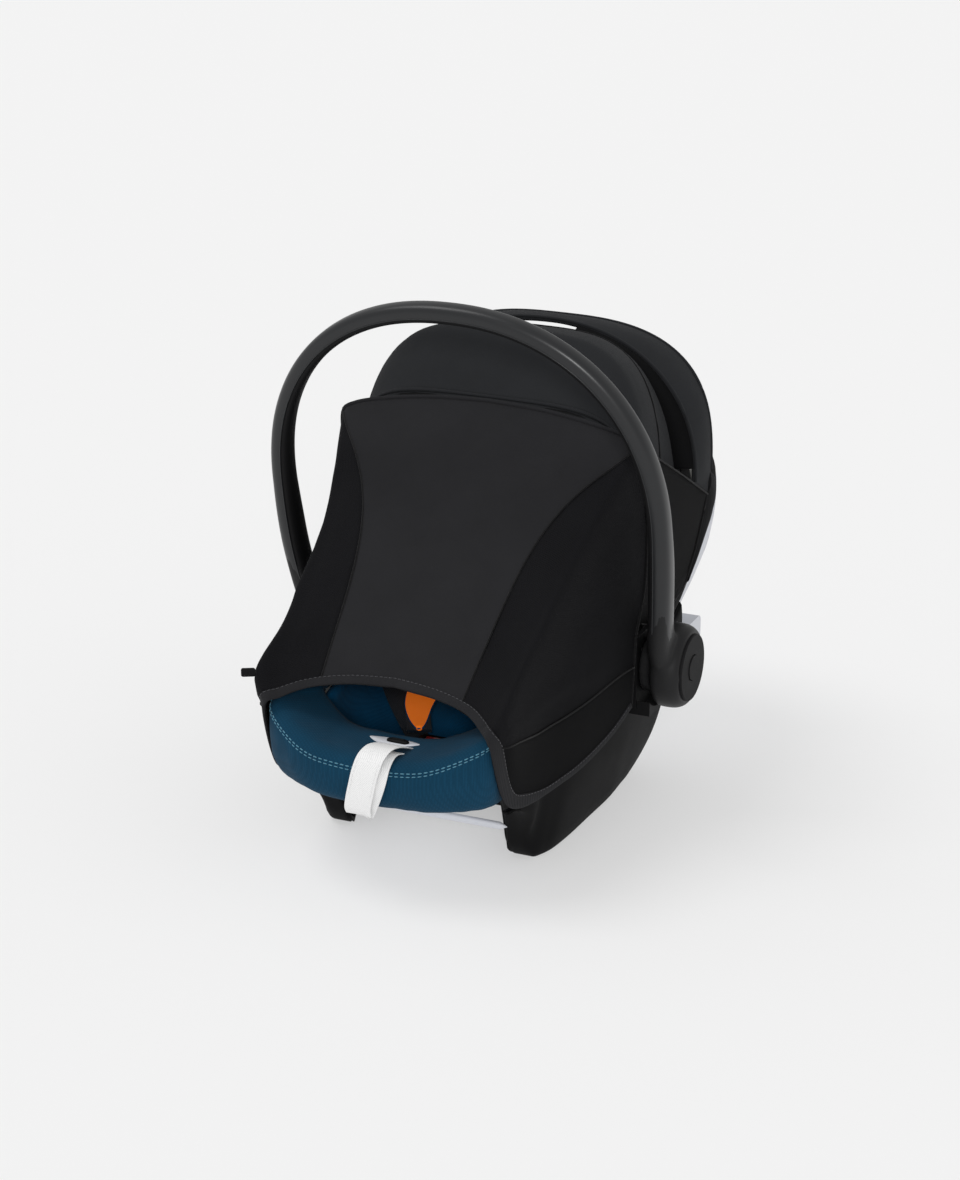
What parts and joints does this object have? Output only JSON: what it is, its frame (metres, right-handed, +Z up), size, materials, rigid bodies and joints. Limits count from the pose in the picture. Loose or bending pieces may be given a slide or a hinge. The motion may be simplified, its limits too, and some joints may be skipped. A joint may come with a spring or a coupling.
{
  "type": "infant car seat",
  "caption": "Rear-facing infant carrier with rocker shell, swing carry handle, folding canopy and a stretch cover with a foot opening.",
  "frame": {"origin": "on the floor, under the middle of the seat's bounding box", "axes": "+Z up, -Y the foot end, +Y the head end, +X the seat's side that is at the right when seen from the foot end"},
  "size_m": [0.444, 0.6378, 0.5509],
  "materials": {
    "pale_shell": "smooth moulded",
    "foam": "fine beaded",
    "blue_knit": "fine knit, padded",
    "black_knit": "knitted",
    "charcoal_shell": "fine grain",
    "blue_guide": "smooth",
    "black_trim": "fine grain",
    "steel": "zinc plated",
    "canopy_cloth": "plain weave",
    "cover_cloth": "stretch knit",
    "cover_mesh": "open mesh knit",
    "handle_skin": "satin",
    "cap_plastic": "fine grain",
    "webbing": "woven webbing",
    "orange_pad": "soft knit",
    "red_button": "smooth",
    "white_strap": "woven webbing"
  },
  "bodies": {
    "seat": {"main_shell": "pale_shell", "front_bar": "pale_shell", "energy_foam": "foam", "seat_liner": "blue_knit", "rim_roll": "black_knit", "front_bolster": "blue_knit", "belly_tray": "charcoal_shell", "side_panel_left": "charcoal_shell", "side_panel_right": "charcoal_shell", "belt_guide_left": "blue_guide", "belt_guide_right": "blue_guide", "belt_guide_rear": "blue_guide", "pedestal_left": "black_trim", "pedestal_right": "black_trim", "pivot_pin_left": "steel", "pivot_pin_right": "steel", "lock_gear_left": "steel", "lock_gear_right": "steel", "pedestal_screws": "steel", "canopy_rear": "canopy_cloth", "canopy_hoop": "canopy_cloth", "canopy_discs": "black_trim", "cover_centre": "cover_cloth", "cover_side_left": "cover_mesh", "cover_side_right": "cover_mesh", "cover_hem": "black_knit", "cover_tag": "black_knit", "newborn_inlay": "blue_knit", "harness_webbing": "webbing", "shoulder_pads": "orange_pad", "crotch_pad": "orange_pad", "buckle_housing": "black_trim", "buckle_tongues": "steel", "splitter_plate": "steel", "adjuster_housing": "pale_shell", "adjuster_strap": "white_strap"},
    "handle": {"handle_outer": "handle_skin", "handle_inner": "black_trim", "hub_left": "black_trim", "hub_right": "black_trim", "hub_cap_left": "cap_plastic", "hub_cap_right": "cap_plastic", "hub_screws": "steel"},
    "button_left": {"button_left": "cap_plastic", "lock_ring_left": "steel", "button_spring_left": "steel"},
    "button_right": {"button_right": "cap_plastic", "lock_ring_right": "steel", "button_spring_right": "steel"},
    "canopy_front": {"canopy_front_bow": "steel", "canopy_visor": "canopy_cloth"},
    "canopy_mid": {"canopy_mid_bow": "steel"},
    "headrest": {"headrest_shell": "pale_shell", "headrest_pad": "blue_knit"},
    "buckle_release": {"buckle_button": "red_button"},
    "adjuster_release": {"adjuster_button": "black_trim"},
    "protector_left": {"protector_left": "pale_shell"},
    "protector_right": {"protector_right": "pale_shell"},
    "base_lever": {"base_lever": "charcoal_shell"},
    "base_hooks": {"base_hooks": "steel"}
  },
  "joints": [
    {"name": "handle_pivot", "type": "hinge", "parent": "seat", "child": "handle", "pos_m": [0, 0.007, 0.164], "axis": [1, 0, 0], "range_deg": [-125, 0]},
    {"name": "button_left", "type": "slide", "parent": "handle", "child": "button_left", "axis": [1, 0, 0], "range_m": [0, 0.004], "stiffness_N_per_m": 2500, "springref_m": -0.001, "deforming": ["button_spring_left"]},
    {"name": "button_right", "type": "slide", "parent": "handle", "child": "button_right", "axis": [-1, 0, 0], "range_m": [0, 0.004], "stiffness_N_per_m": 2500, "springref_m": -0.001, "deforming": ["button_spring_right"]},
    {"name": "canopy_fold", "type": "hinge", "parent": "seat", "child": "canopy_front", "pos_m": [0, 0.02, 0.19], "axis": [1, 0, 0], "range_deg": [-35, 0], "deforming": ["canopy_visor", "cover_centre", "cover_side_left", "cover_side_right"]},
    {"name": "canopy_mid_fold", "type": "hinge", "parent": "seat", "child": "canopy_mid", "pos_m": [0, 0.02, 0.19], "axis": [1, 0, 0], "range_deg": [-17.5, 0]},
    {"name": "headrest_height", "type": "slide", "parent": "seat", "child": "headrest", "axis": [0, 0.766, 0.6428], "range_m": [0, 0.03]},
    {"name": "buckle_press", "type": "slide", "parent": "seat", "child": "buckle_release", "axis": [0, 0, -1], "range_m": [0, 0.003], "stiffness_N_per_m": 2500, "springref_m": -0.001},
    {"name": "adjuster_press", "type": "slide", "parent": "seat", "child": "adjuster_release", "axis": [0, -0.1564, -0.9877], "range_m": [0, 0.0015], "stiffness_N_per_m": 2500, "springref_m": -0.001},
    {"name": "protector_left_out", "type": "slide", "parent": "seat", "child": "protector_left", "axis": [-1, 0, 0], "range_m": [0, 0.04]},
    {"name": "protector_right_out", "type": "slide", "parent": "seat", "child": "protector_right", "axis": [1, 0, 0], "range_m": [0, 0.04]},
    {"name": "base_lever_pull", "type": "slide", "parent": "seat", "child": "base_lever", "axis": [0, 0.4384, 0.8988], "range_m": [0, 0.008], "stiffness_N_per_m": 400, "springref_m": -0.002},
    {"name": "base_hooks_slide", "type": "slide", "parent": "seat", "child": "base_hooks", "axis": [0, 1, 0], "range_m": [0, 0.004]}
  ],
  "couplings": [
    {"joint": "canopy_mid_fold", "follows": "canopy_fold", "ratio": 0.5},
    {"joint": "base_hooks_slide", "follows": "base_lever_pull", "ratio": 0.5}
  ]
}
